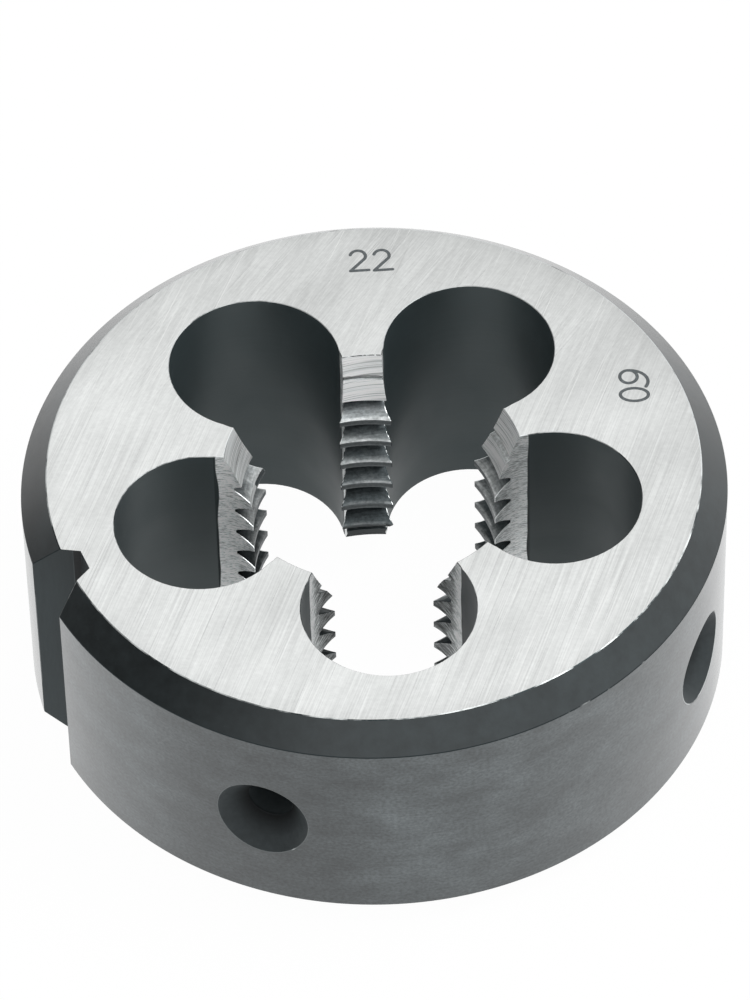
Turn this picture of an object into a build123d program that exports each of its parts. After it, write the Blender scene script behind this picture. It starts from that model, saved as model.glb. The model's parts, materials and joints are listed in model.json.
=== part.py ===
"""Round threading die for a right-hand M22 x 2.5 thread, 55 mm across and 22 mm thick.

The die is one piece of hardened steel. It is a chamfered disc with a threaded bore, which five
chip holes break into five toothed lands. A cone leads the rod in at each end of the bore. The
rim has a V slot for the spreading screw and four conical seats for the screws of the die stock.

The die lies on its lower face. The origin is the centre of that face and the bore is along +Z.
Azimuths are in degrees about +Z, from +X.
"""

import os
from math import ceil, cos, radians, sin, tan

from build123d import *

# Disc
die_diameter = 55.0
die_thickness = 22.0
rim_chamfer = 2.05

# Thread: a groove of metric form, cut into a plain bore of the crest diameter
thread_diameter = 22.0
pitch = 2.5
flank_angle = 60.0
crest_diameter = 19.1
# Height of a tooth's middle above the lower face, at azimuth 0
tooth_height = 0.90

# Lead cones: the diameter of each mouth, and the angle between the cone and the bore's axis
upper_mouth_diameter = 23.5
upper_lead_angle = 24.0
lower_mouth_diameter = 24.3
lower_lead_angle = 32.0

# Chip holes, through the disc on one circle
chip_hole_count = 5
chip_hole_diameter = 13.5
chip_hole_circle_diameter = 28.8
chip_hole_azimuth = 201.6

# Cutting faces: each side of a land is ground hollow by a wheel, which leaves a neck
rake_wheel_diameter = 7.6
neck_width = 3.14
neck_circle_diameter = 22.5

# V slot in the rim, in line with the first chip hole
slot_angle = 60.0
slot_root_width = 1.9
slot_root_radius = 24.0

# Screw seats: a cone at half the thickness with a drilled pilot at its bottom
seat_diameter = 7.8
seat_angle = 90.0
pilot_diameter = 3.6
pilot_depth = 4.4
# Azimuth of a closing seat and of a holding seat, each way from the slot
closing_seat_offset = 48.9
holding_seat_offset = 134.9

# Clearance that a cutting tool keeps outside the metal
tool_overrun = 1.0

die_radius = die_diameter / 2
crest_radius = crest_diameter / 2
root_radius = thread_diameter / 2
flank_slope = tan(radians(flank_angle / 2))
root_flat = pitch / 8


def lead_height(mouth_diameter, angle):
    """Height of a lead cone that narrows from its mouth to the bore at this angle."""
    return (mouth_diameter / 2 - crest_radius) / tan(radians(angle))


def slot_half_width(radius):
    """Half the width of the V slot at a distance from the die's axis."""
    return slot_root_width / 2 + (radius - slot_root_radius) * tan(radians(slot_angle / 2))


# The groove's cutter is a trapezium. It is widest inside the bore, where it cuts nothing, and
# is kept narrower there than the pitch, so that its turns stay clear of each other.
cutter_inset = 0.25
cutter_depth = root_radius - crest_radius + cutter_inset
cutter_mouth = root_flat + 2 * cutter_depth * flank_slope

# Only the lands carry thread, so the groove is cut one land at a time, by short arcs of the
# helix that end inside the chip holes on both sides.
land_spacing = 360 / chip_hole_count
arc_angle = 0.8 * land_spacing
land_azimuths = [chip_hole_azimuth + (i + 0.5) * land_spacing for i in range(chip_hole_count)]

with BuildPart() as groove_arc:
    with BuildLine() as groove_path:
        Helix(pitch, pitch * arc_angle / 360, crest_radius)
    section_plane = Plane(
        origin=groove_path.line @ 0, x_dir=(1, 0, 0), z_dir=groove_path.line % 0
    )
    with BuildSketch(section_plane):
        with BuildLine():
            Polyline(
                (-cutter_inset, -cutter_mouth / 2),
                (cutter_depth - cutter_inset, -root_flat / 2),
                (cutter_depth - cutter_inset, root_flat / 2),
                (-cutter_inset, cutter_mouth / 2),
                close=True,
            )
        make_face()
    sweep(path=groove_path.line, is_frenet=True)


def groove_heights(azimuth):
    """Heights of the groove's middle at this azimuth, one a turn, from below the die to above."""
    lowest = (tooth_height - pitch / 2 + pitch * azimuth / 360) % pitch - pitch
    return [lowest + turn * pitch for turn in range(ceil(die_thickness / pitch) + 2)]


with BuildPart() as threading_die:
    # The disc's seam is turned to where the V slot goes, which leaves the rim's wall in one face.
    Cylinder(
        die_radius,
        die_thickness,
        rotation=(0, 0, chip_hole_azimuth),
        align=(Align.CENTER, Align.CENTER, Align.MIN),
    )
    chamfer(threading_die.edges().filter_by(GeomType.CIRCLE), rim_chamfer)

    # The bore and its two lead cones are turned in one profile.
    with BuildSketch(Plane.XZ):
        with BuildLine():
            Polyline(
                (0, 0),
                (lower_mouth_diameter / 2, 0),
                (crest_radius, lead_height(lower_mouth_diameter, lower_lead_angle)),
                (crest_radius, die_thickness - lead_height(upper_mouth_diameter, upper_lead_angle)),
                (upper_mouth_diameter / 2, die_thickness),
                (0, die_thickness),
                close=True,
            )
        make_face()
    revolve(axis=Axis.Z, mode=Mode.SUBTRACT)

    # Chip holes, with the path of the rake wheel on both sides of each land between them
    wheel_offset = (neck_width + rake_wheel_diameter) / 2
    with BuildSketch():
        with PolarLocations(chip_hole_circle_diameter / 2, chip_hole_count, chip_hole_azimuth):
            Circle(chip_hole_diameter / 2)
        with PolarLocations(0, chip_hole_count, land_azimuths[0]):
            with Locations(
                (neck_circle_diameter / 2, wheel_offset),
                (neck_circle_diameter / 2, -wheel_offset),
            ):
                Circle(rake_wheel_diameter / 2)
    extrude(amount=die_thickness, mode=Mode.SUBTRACT)

    # Thread on each land
    for land_azimuth in land_azimuths:
        arc_azimuth = land_azimuth - arc_angle / 2
        with Locations(*[(0, 0, height) for height in groove_heights(arc_azimuth)]):
            add(groove_arc.part, rotation=(0, 0, arc_azimuth), mode=Mode.SUBTRACT)

    # V slot
    slot_mouth_radius = die_radius + tool_overrun
    with BuildSketch(Plane.XY.rotated((0, 0, chip_hole_azimuth))):
        with BuildLine():
            Polyline(
                (slot_root_radius, -slot_half_width(slot_root_radius)),
                (slot_mouth_radius, -slot_half_width(slot_mouth_radius)),
                (slot_mouth_radius, slot_half_width(slot_mouth_radius)),
                (slot_root_radius, slot_half_width(slot_root_radius)),
                close=True,
            )
        make_face()
    extrude(amount=die_thickness, mode=Mode.SUBTRACT)

    # Screw seats, each on a plane that touches the rim
    for offset in (
        -holding_seat_offset,
        -closing_seat_offset,
        closing_seat_offset,
        holding_seat_offset,
    ):
        seat_azimuth = radians(chip_hole_azimuth + offset)
        outward = Vector(cos(seat_azimuth), sin(seat_azimuth), 0)
        seat_plane = Plane(
            origin=outward * die_radius + Vector(0, 0, die_thickness / 2), z_dir=outward
        )
        with Locations(seat_plane):
            CounterSinkHole(pilot_diameter / 2, seat_diameter / 2, pilot_depth, seat_angle)

threading_die.part.label = "threading_die"

os.makedirs("parts", exist_ok=True)
export_step(threading_die.part, "parts/threading_die.step")
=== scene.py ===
"""Looks of a round threading die: one closed surface of hardened tool steel, with its numbers.

The die's surface is one grid. Its columns go once round the bore, counted from the V slot. Its
rows go up the wall of the bore and the chip holes, out over the upper face, down the chamfers and
the rim, and back in under the lower face. Four square windows in the rim hold the screw seats.

Lengths are in millimetres and angles in radians inside the functions. The meshes are in metres.
"""

import json
from functools import partial
from math import atan2, cos, hypot, pi, radians, sin, sqrt, tan
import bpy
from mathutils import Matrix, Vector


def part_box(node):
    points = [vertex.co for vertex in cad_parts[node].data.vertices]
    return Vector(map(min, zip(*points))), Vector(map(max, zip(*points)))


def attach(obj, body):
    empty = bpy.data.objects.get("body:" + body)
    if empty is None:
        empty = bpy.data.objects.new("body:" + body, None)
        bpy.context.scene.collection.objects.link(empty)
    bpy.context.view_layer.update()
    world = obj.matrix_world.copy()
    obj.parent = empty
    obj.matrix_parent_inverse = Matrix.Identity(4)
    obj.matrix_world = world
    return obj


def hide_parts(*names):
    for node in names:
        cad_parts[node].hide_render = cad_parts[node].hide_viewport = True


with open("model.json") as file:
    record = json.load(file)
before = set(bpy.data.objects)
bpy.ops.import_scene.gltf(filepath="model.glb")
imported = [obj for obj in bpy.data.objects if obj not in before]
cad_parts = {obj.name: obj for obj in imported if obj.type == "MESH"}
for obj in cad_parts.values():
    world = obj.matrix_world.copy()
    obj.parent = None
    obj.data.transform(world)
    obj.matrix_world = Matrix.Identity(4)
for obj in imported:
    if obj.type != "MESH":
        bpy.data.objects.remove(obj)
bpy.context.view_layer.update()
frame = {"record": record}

from types import SimpleNamespace

import bpy
import numpy as np
from mathutils import Matrix, Vector

bl_info = {
    "name": "Round threading die",
    "version": (1, 0, 0),
    "blender": (4, 5, 0),
    "location": "View3D > Sidebar > Threading Die",
    "description": "Builds the visible surface of a round threading die, and its stage",
    "category": "Object",
}

NODE = "threading_die"
MM = 0.001
UV_NAME = "surface_mm"

cad_low, cad_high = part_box(NODE)
mounts = {mount["name"]: mount for mount in frame["record"]["mounts"]}


def mount_azimuth(name):
    """Azimuth about +Z, from +X, of a mount's axis."""
    x, y, _ = mounts[name]["axis"]
    return atan2(y, x)


SLOT_AZIMUTH = mount_azimuth("spreading_slot")
SEAT_NAMES = ("closing_seat_a", "closing_seat_b", "holding_seat_a", "holding_seat_b")


def length(name, value, description):
    """A length property in metres, from a value in millimetres."""
    return bpy.props.FloatProperty(
        name=name,
        description=description,
        default=value * MM,
        min=0.0,
        precision=5,
        unit="LENGTH",
        subtype="DISTANCE",
    )


def angle(name, value, description):
    """An angle property, from a value in degrees."""
    return bpy.props.FloatProperty(
        name=name, description=description, default=radians(value), subtype="ANGLE"
    )


def colour(name, value, description):
    """A colour property, from an sRGB hex value."""
    return bpy.props.FloatVectorProperty(
        name=name,
        description=description,
        default=linear(value),
        size=4,
        min=0.0,
        max=1.0,
        subtype="COLOR",
    )


def linear(hex_value):
    """An sRGB hex value, such as "#8c8f91", as linear red, green, blue and alpha."""
    parts = [int(hex_value[i : i + 2], 16) / 255 for i in (1, 3, 5)]
    light = [p / 12.92 if p <= 0.04045 else ((p + 0.055) / 1.055) ** 2.4 for p in parts]
    return (*light, 1.0)


class DieSizes(bpy.types.PropertyGroup):
    """Sizes of the die."""

    diameter: length("Diameter", round((cad_high.x - cad_low.x) / MM, 1), "Across the rim")
    thickness: length("Thickness", round((cad_high.z - cad_low.z) / MM, 1), "Between the faces")
    rim_chamfer: length("Rim chamfer", 2.05, "Leg of the chamfers of the rim")
    pitch: length("Pitch", 2.5, "Distance between two teeth of a land")
    thread_diameter: length("Thread diameter", 22.0, "Across the roots of the thread")
    crest_diameter: length("Crest diameter", 19.1, "Across the crests of the teeth")
    flank_angle: angle("Flank angle", 60.0, "Between the two flanks of a groove")
    tooth_height: length("Tooth height", 0.90, "Height of a tooth's middle at azimuth 0")
    upper_mouth: length("Upper mouth", 23.5, "Diameter of the upper lead cone's mouth")
    upper_angle: angle("Upper lead angle", 24.0, "Between the upper lead cone and the axis")
    lower_mouth: length("Lower mouth", 24.3, "Diameter of the lower lead cone's mouth")
    lower_angle: angle("Lower lead angle", 32.0, "Between the lower lead cone and the axis")
    hole_diameter: length("Chip hole", 13.5, "Diameter of a chip hole")
    hole_circle: length("Chip hole circle", 28.8, "Diameter of the circle of the chip holes")
    wheel_diameter: length("Rake wheel", 7.6, "Diameter of the wheel that grinds a cutting face")
    neck_width: length("Neck", 3.14, "Width of a land where it is narrowest")
    neck_circle: length("Neck circle", 22.5, "Diameter of the circle of the necks")
    slot_angle: angle("Slot angle", 60.0, "Between the two sides of the V slot")
    slot_root_width: length("Slot root width", 1.9, "Width of the V slot's root")
    slot_root_radius: length("Slot root radius", 24.0, "From the axis to the V slot's root")
    seat_diameter: length("Seat", 7.8, "Diameter of a screw seat's mouth")
    pilot_diameter: length("Pilot", 3.6, "Diameter of the hole at a seat's bottom")
    pilot_depth: length("Pilot depth", 4.4, "From the rim to the bottom of a pilot")
    edge_break: length("Edge break", 0.05, "Width of the worn strip along the outer edges")
    tooth_edge: length("Tooth edge", 0.08, "Width of the worn strip along the teeth's edges")
    digit_height: length("Digit height", 2.2, "Height of a number's middle line")
    digit_width: length("Digit width", 1.46, "Width of a number's middle line")
    stroke_width: length("Stroke width", 0.27, "Width of a number's stroke")


class DieColours(bpy.types.PropertyGroup):
    """Colours of the die's finishes."""

    ground_face: colour("Ground face", "#dddfde", "Faces ground bright")
    black_oxide: colour("Black oxide", "#2e3537", "Chamfers and V slot")
    dull_oxide: colour("Dull oxide", "#3a4042", "Conical seats and the lower lead cone")
    hole_wall: colour("Chip hole wall", "#313a3c", "Drilled walls of the chip holes")
    ground_rim: colour("Ground rim", "#4f5557", "Rim ground before hardening")
    cutting_face: colour("Cutting face", "#edf1f1", "Hollows ground beside the lands")
    lead_cone: colour("Lead cone", "#f3f6f6", "Turned cones at both ends of the bore")
    thread: colour("Thread", "#cbcfcf", "Flanks of the thread where they are bare")
    thread_root: colour("Thread root", "#4a5052", "Grooves of the thread where they are dark")
    marking: colour("Marking", "#515658", "Numbers on the upper face")


def in_mm(group):
    """The values of a size group in millimetres, and in radians for angles."""
    values = {}
    for name in group.__annotations__:
        is_length = group.bl_rna.properties[name].unit == "LENGTH"
        values[name] = getattr(group, name) / (MM if is_length else 1)
    return SimpleNamespace(**values)


# Columns: half a sector goes from the middle of a land to the middle of a chip hole. A land's own
# face comes first, then the ground hollow beside it, then the chip hole's wall.
LANDS = 5
LAND_COLUMNS = 12
HOLLOW_COLUMNS = 10
HOLE_COLUMNS = 22
HALF = LAND_COLUMNS + HOLLOW_COLUMNS + HOLE_COLUMNS
SECTOR = 2 * HALF
COLUMNS = LANDS * SECTOR
# Columns of half the V slot: its root's corner, the end of its side, and the first on the rim
SLOT_ROOT, SLOT_END, SLOT_RIM = 1, 3, 4
# About the length of a hollow, from the teeth's edge to the chip hole
HOLLOW_LENGTH = 4.4
# Where the columns between a hollow and its hole meet the rim, as an angle from a land's middle
OUTER_NECK_ANGLE = radians(5.5)

# Rows of one pitch of thread, as steps of the groove's sides and of the teeth's tops
FLANK_STEPS = 5
CREST_STEPS = 2
# Rows on the thread and from there to the faces, and the height where the thread's may start
THREAD_ROWS = 101
LOWER_ROWS = 5
UPPER_ROWS = 6
LOWEST_THREAD_ROW = 1.2
# Between these distances from a face, the rows take up the rise of the helix.
RISE_START, RISE_END = 0.1, 1.1
# Rounds that settle a point's height on the helix with the land's width at that height
SETTLING_ROUNDS = 4
# How near the thread and a lead cone may be for a cell to be a cone's
CONE_TOLERANCE = 0.02
# Distance in the texture from one land to the next, so that their patterns differ
LAND_SPACING = 40.0

# Numbers of the finishes in the surface's cells
FACE, OXIDE, DULL, HOLE, RIM, HOLLOW, CONE, THREAD, EDGE, SLOT = range(10)


def column_places():
    """For each column: its land, its side of that land (-1 or 1), and its distance from the
    land's middle, counted in columns."""
    column = np.arange(COLUMNS)
    land = column // SECTOR
    from_middle = column % SECTOR - HALF
    return land, np.where(from_middle < 0, -1, 1), np.abs(from_middle)


def land_azimuths():
    """Azimuths of the lands' middles, from the one after the V slot."""
    return SLOT_AZIMUTH + (np.arange(LANDS) + 0.5) * 2 * pi / LANDS


def wheel_centre(size):
    """Centre of the rake wheel beside a land, along the land's middle and across it."""
    return np.array([size.neck_circle / 2, (size.neck_width + size.wheel_diameter) / 2])


def crossing(size):
    """Where a chip hole's circle meets the rake wheel's, on the side away from the bore, in land
    coordinates: x along the land's middle and y across it. Two circles meet on the line that is
    square to the line of their centres."""
    hole_radius = size.hole_diameter / 2
    wheel_radius = size.wheel_diameter / 2
    hole = size.hole_circle / 2 * np.array([cos(pi / LANDS), sin(pi / LANDS)])
    wheel = wheel_centre(size)
    gap = wheel - hole
    distance = hypot(*gap)
    along = (distance**2 + hole_radius**2 - wheel_radius**2) / (2 * distance)
    across = sqrt(hole_radius**2 - along**2)
    unit = gap / distance
    normal = np.array([-unit[1], unit[0]])
    points = [hole + along * unit + sign * across * normal for sign in (-1, 1)]
    return hole, wheel, max(points, key=lambda point: point[0])


def land_half_angle(size, radius):
    """Half the angle of a land at a distance from the axis, where the circle of that radius meets
    the rake wheel's circle, by the law of cosines."""
    x, y = wheel_centre(size)
    centre = hypot(x, y)
    cosine = (radius**2 + centre**2 - (size.wheel_diameter / 2) ** 2) / (2 * radius * centre)
    return atan2(y, x) - np.arccos(cosine)


def tooth_section(size):
    """How much a groove's side goes along the axis for its depth, and half the width of a tooth's
    flat top. A groove's flat bottom is an eighth of the pitch wide."""
    slope = tan(size.flank_angle / 2)
    depth = (size.thread_diameter - size.crest_diameter) / 2
    return slope, (size.pitch - size.pitch / 8) / 2 - depth * slope


def thread_radius(size, height):
    """Radius of the thread at a height above a tooth's middle: flat on the tooth, then outward
    along the groove's side, then flat in the groove's bottom."""
    slope, half_crest = tooth_section(size)
    crest, root = size.crest_diameter / 2, size.thread_diameter / 2
    from_tooth = np.abs((height + size.pitch / 2) % size.pitch - size.pitch / 2)
    return crest + np.clip((from_tooth - half_crest) / slope, 0, root - crest)


def cone_radius(size, z):
    """Radius of the lead cones at a height: each narrows from its mouth in a straight line."""
    upper = size.upper_mouth / 2 - (size.thickness - z) * tan(size.upper_angle)
    lower = size.lower_mouth / 2 - z * tan(size.lower_angle)
    return np.maximum(upper, lower)


def thread_steps(size):
    """Heights of the rows in one pitch, from a tooth's middle: the tooth's top, the side of the
    groove down to its bottom, and the other side, which mirrors the first."""
    _, half_crest = tooth_section(size)
    tooth = np.linspace(-half_crest, half_crest, CREST_STEPS + 1)
    side = np.linspace(half_crest, size.pitch * 7 / 16, FLANK_STEPS + 1)[1:]
    return np.concatenate([tooth, side, size.pitch - side[::-1]])


def bore_rows(size):
    """Heights of the bore's rows at the middle of each land, as lands by rows. They follow the
    teeth, and where a lead cone meets the side of a groove, the nearest row on the cone is moved
    to that place."""
    steps = thread_steps(size)
    turns = np.arange(-2, int(size.thickness / size.pitch) + 3)
    low, high = size.edge_break, size.thickness - size.edge_break
    rows = []
    for azimuth in land_azimuths():
        first = size.tooth_height + size.pitch * azimuth / (2 * pi)
        every = (first % size.pitch + turns[:, None] * size.pitch + steps).ravel()
        start = np.searchsorted(every, LOWEST_THREAD_ROW)
        thread = every[start : start + THREAD_ROWS].copy()
        excess = thread_radius(size, thread - first) - cone_radius(size, thread)
        met = np.flatnonzero(excess[:-1] * excess[1:] < 0)
        share = excess[met] / (excess[met] - excess[met + 1])
        place = thread[met] + share * (thread[met + 1] - thread[met])
        thread[np.where(excess[met] < 0, met, met + 1)] = place
        lower = np.linspace(low, thread[0], LOWER_ROWS + 1)[:-1]
        upper = np.linspace(thread[-1], high, UPPER_ROWS + 1)[1:]
        rows.append(np.concatenate([lower, thread, upper]))
    return np.array(rows)


def smooth_step(value, start, end):
    """0 up to start, 1 from end, and a smooth rise between them: 3 t squared less 2 t cubed."""
    t = np.clip((value - start) / (end - start), 0, 1)
    return t * t * (3 - 2 * t)


def bore_wall(size):
    """The wall of the bore and the chip holes, as rows by columns: points, texture coordinates
    at both sides of each column's strip, and the finish of each cell.

    On a land the radius is the larger of the thread's and the lead cones', and its rows rise with
    the helix. Beside it a point goes round the rake wheel's circle and then round the chip hole's.
    Each point is its circle's centre, plus the radius times the cosine and sine of its angle.
    """
    land, side, place = column_places()
    azimuth = land_azimuths()[land]
    rows = bore_rows(size).T
    own, other = rows[:, land], rows[:, (land + side) % LANDS]
    # The last column of a land is a narrow strip along the edges of its teeth. The hollow's first
    # column lies a little way in, so that the strip breaks the edge.
    crest = size.crest_diameter / 2
    strip = 1 - size.tooth_edge / (crest * land_half_angle(size, crest))
    on_land = np.interp(place, [0, LAND_COLUMNS - 1, LAND_COLUMNS], [0, strip, 1])
    edge_share = size.tooth_edge / HOLLOW_LENGTH
    on_hollow = np.interp(place - LAND_COLUMNS, [-1, 0, HOLLOW_COLUMNS], [0, edge_share, 1])
    on_hole = np.clip((place - LAND_COLUMNS - HOLLOW_COLUMNS) / HOLE_COLUMNS, 0, 1)

    # Rows follow the helix, apart from the ends, where the lead cones have cut the thread away.
    follow = smooth_step(own, RISE_START, RISE_END)
    follow = follow * smooth_step(size.thickness - own, RISE_START, RISE_END)
    rise = size.pitch / (2 * pi)
    tooth = size.tooth_height + rise * azimuth
    turn = on_land * side * land_half_angle(size, crest)
    for _ in range(SETTLING_ROUNDS):
        z = own + follow * rise * turn
        radius = np.maximum(thread_radius(size, own - tooth), cone_radius(size, z))
        edge = land_half_angle(size, radius)
        turn = on_land * side * edge
    z = own + follow * rise * turn * (1 - on_hollow)
    z = z + (other - own) * on_hole / 2

    hole, wheel, meeting = crossing(size)
    wheel_radius, hole_radius = size.wheel_diameter / 2, size.hole_diameter / 2
    wheel_end = atan2(meeting[1] - wheel[1], meeting[0] - wheel[0])
    wheel_start = np.arctan2(radius * np.sin(edge) - wheel[1], radius * np.cos(edge) - wheel[0])
    wheel_turn = wheel_start + (wheel_end - wheel_start) * on_hollow
    hole_start = atan2(meeting[1] - hole[1], meeting[0] - hole[0])
    hole_turn = hole_start + (pi / LANDS - hole_start) * on_hole
    # On a land, on a hole and else on a hollow: the circle's centre, its radius, and the angle
    kinds = [place < LAND_COLUMNS, on_hole > 0]
    centre_x = np.select(kinds, [0.0, hole[0]], wheel[0])
    centre_y = np.select(kinds, [0.0, hole[1]], wheel[1]) * side
    reach = np.select(kinds, [radius, hole_radius], wheel_radius)
    angle_there = np.select(kinds, [turn, hole_turn * side], wheel_turn * side)
    x = centre_x + reach * np.cos(angle_there)
    y = centre_y + reach * np.sin(angle_there)
    points = turned(x, y, z, azimuth)

    # Texture coordinates: across a land from its middle, and elsewhere from the hollow's outer edge
    on_arc = [radius * turn, hole_radius * (hole_turn - hole_start)]
    across = np.select(kinds, on_arc, wheel_radius * (wheel_turn - wheel_end))
    start = np.stack([across, z + LAND_SPACING * land], axis=-1)
    end = np.roll(start, -1, axis=1)
    # A strip's two sides belong to one land, and to one kind of wall.
    left_land = (place == LAND_COLUMNS) & (side < 0)
    start[:, left_land, 0] = (radius * turn)[:, left_land]
    last_of_land = np.roll((place == LAND_COLUMNS) & (side > 0), -1)
    end[:, last_of_land, 0] = np.roll(radius * turn, -1, axis=1)[:, last_of_land]
    last_of_sector = np.arange(COLUMNS) % SECTOR == SECTOR - 1
    next_z = np.roll(z, -1, axis=1) + LAND_SPACING * land
    end[:, last_of_sector, 1] = next_z[:, last_of_sector]

    middle = (place + np.roll(place, -1)) / 2
    limits = (LAND_COLUMNS - 1, LAND_COLUMNS, LAND_COLUMNS + HOLLOW_COLUMNS)
    finish = np.select([middle < limit for limit in limits], [THREAD, EDGE, HOLLOW], HOLE)
    finish = np.repeat(finish[None], len(z) - 1, axis=0)
    depth = thread_radius(size, own - tooth) - cone_radius(size, z)
    depth = depth + np.roll(depth, -1, axis=1)
    coned = depth[:-1] + depth[1:] < CONE_TOLERANCE
    # The lower cone is left black.
    cone_finish = np.where(z[:-1] < size.thickness / 2, DULL, CONE)
    finish = np.where((middle < LAND_COLUMNS) & coned, cone_finish, finish)
    return points, start, end, finish


def turned(x, y, z, azimuth):
    """Points from x and y along and across a direction, turned to its azimuth about the axis."""
    c, s = np.cos(azimuth), np.sin(azimuth)
    return np.stack(np.broadcast_arrays(x * c - y * s, x * s + y * c, z), axis=-1)


# Least share that a point's way has of the distance, measured square to a side
LEAST_SQUARE = 0.5


def offset_outline(outline, distance):
    """A closed flat outline moved sideways, to the right of its direction: each point goes along
    the sum of its two sides' normals, so far that both sides move by the distance. At a sharp
    corner it goes twice the distance and no further."""
    before = outline - np.roll(outline, 1, axis=0)
    after = np.roll(outline, -1, axis=0) - outline
    normals = []
    for step in (before, after):
        step = step / np.linalg.norm(step, axis=1, keepdims=True)
        normals.append(np.stack([step[:, 1], -step[:, 0]], axis=-1))
    total = normals[0] + normals[1]
    total /= np.linalg.norm(total, axis=1, keepdims=True)
    square = np.maximum((total * normals[0]).sum(axis=1, keepdims=True), LEAST_SQUARE)
    return outline + distance * total / square


def side_meets_circle(size, radius):
    """Where a side of the V slot meets a circle about the axis: x along the slot and y across."""
    slope = tan(size.slot_angle / 2)
    start = size.slot_root_width / 2 - size.slot_root_radius * slope
    a, b, c = 1 + slope**2, 2 * slope * start, start**2 - radius**2
    x = (-b + sqrt(b * b - 4 * a * c)) / (2 * a)
    return x, start + slope * x


def outer_angles(size, radius):
    """Angle of each column from the nearest chip hole's middle, on a circle about the axis, and
    the number of columns between them. Beside the V slot the columns start at its corner."""
    column = np.arange(COLUMNS)
    hole = (column + HALF) // SECTOR
    from_hole = column - hole * SECTOR
    place = np.abs(from_hole)
    neck = pi / LANDS - OUTER_NECK_ANGLE
    corner = atan2(*side_meets_circle(size, radius)[::-1]) + size.edge_break / radius
    plain = np.interp(place, [0, HOLE_COLUMNS, HALF], [0, neck, pi / LANDS])
    slotted = np.interp(place, [SLOT_RIM, HOLE_COLUMNS, HALF], [corner, neck, pi / LANDS])
    by_slot = hole % LANDS == 0
    return np.where(by_slot, slotted, plain) * np.sign(from_hole), hole, from_hole, by_slot


def outer_outline(size, radius):
    """The die's outline at the row where the rim has this radius: a circle, and in the V slot
    straight lines from its root's corners to where its sides meet the circle."""
    turn, hole, from_hole, by_slot = outer_angles(size, radius)
    x, y = radius * np.cos(turn), radius * np.sin(turn)
    side_x, side_y = side_meets_circle(size, radius - size.edge_break)
    place = np.abs(from_hole)
    knots = [0, SLOT_ROOT, SLOT_END]
    in_slot = by_slot & (place < SLOT_RIM)
    root_x, root_y = size.slot_root_radius, size.slot_root_width / 2
    x = np.where(in_slot, np.interp(place, knots, [root_x, root_x, side_x]), x)
    y = np.where(in_slot, np.sign(from_hole) * np.interp(place, knots, [0, root_y, side_y]), y)
    return turned(x, y, 0.0, SLOT_AZIMUTH + hole * 2 * pi / LANDS)[..., :2]


CHAMFER_STEPS = 3
RIM_STEPS = 28
FACE_STEPS = 6


def rim_profile(size):
    """The rim's section from the upper face to the lower, as radii, heights and finishes of the
    strips between them: a face's edge, a chamfer, its edge, the rim, and the same below."""
    radius, top = size.diameter / 2, size.thickness
    chamfer, edge = size.rim_chamfer, size.edge_break
    slant = edge / sqrt(2)
    inner = radius - chamfer
    down = np.linspace(0, 1, CHAMFER_STEPS + 1)
    half = [(inner - edge, top)]
    half += [
        (inner + slant + t * (chamfer - 2 * slant), top - slant - t * (chamfer - 2 * slant))
        for t in down
    ]
    rim = np.linspace(top - chamfer - edge, chamfer + edge, RIM_STEPS + 1)
    profile = half + [(radius, z) for z in rim] + [(r, top - z) for r, z in reversed(half)]
    finish = [EDGE] + [OXIDE] * CHAMFER_STEPS + [EDGE] + [RIM] * RIM_STEPS
    finish += [EDGE] + [OXIDE] * CHAMFER_STEPS + [EDGE]
    return np.array(profile), np.array(finish)


def rim_wall(size):
    """The chamfers, the rim and the V slot, as rows by columns: each row is the die's outline at
    that row of the profile."""
    profile, finish = rim_profile(size)
    points = np.array([np.c_[outer_outline(size, r), np.full(COLUMNS, z)] for r, z in profile])
    column = np.arange(COLUMNS + 1)
    azimuth = np.unwrap(np.arctan2(points[..., 1], points[..., 0]), axis=1)
    azimuth = np.concatenate([azimuth, azimuth[:, :1] + 2 * pi], axis=1)
    u = azimuth * size.diameter / 2
    v = np.repeat(profile[:, 1][:, None], COLUMNS + 1, axis=1)
    uv = np.stack([u, v], axis=-1)
    cells = np.repeat(finish[:, None], COLUMNS, axis=1)
    from_slot = np.minimum(column[:-1], COLUMNS - 1 - column[:-1])
    cells[:, from_slot < SLOT_END] = SLOT
    cells[:, from_slot == SLOT_END] = EDGE
    return points, uv[:, :-1], uv[:, 1:], cells


# Rounds that settle the mouth's radius with the rim's fall at that radius
MOUTH_ROUNDS = 30


def seat_mouth(size, turn):
    """Radius of a seat's mouth in a direction: the cone is cut by the rim, which falls away from
    its tangent plane by the radius less the root of radius squared less y squared."""
    rim = size.diameter / 2
    mouth = np.full_like(turn, size.seat_diameter / 2)
    for _ in range(MOUTH_ROUNDS):
        y = mouth * np.cos(turn)
        mouth = size.seat_diameter / 2 - (rim - np.sqrt(rim**2 - y**2))
    return mouth


SEAT_RIM_STEPS = 5
SEAT_CONE_STEPS = 6
SEAT_PILOT_STEPS = 3
# Least distance from a seat's mouth to the border of its square window in the rim
SEAT_MARGIN = 0.55


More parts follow.
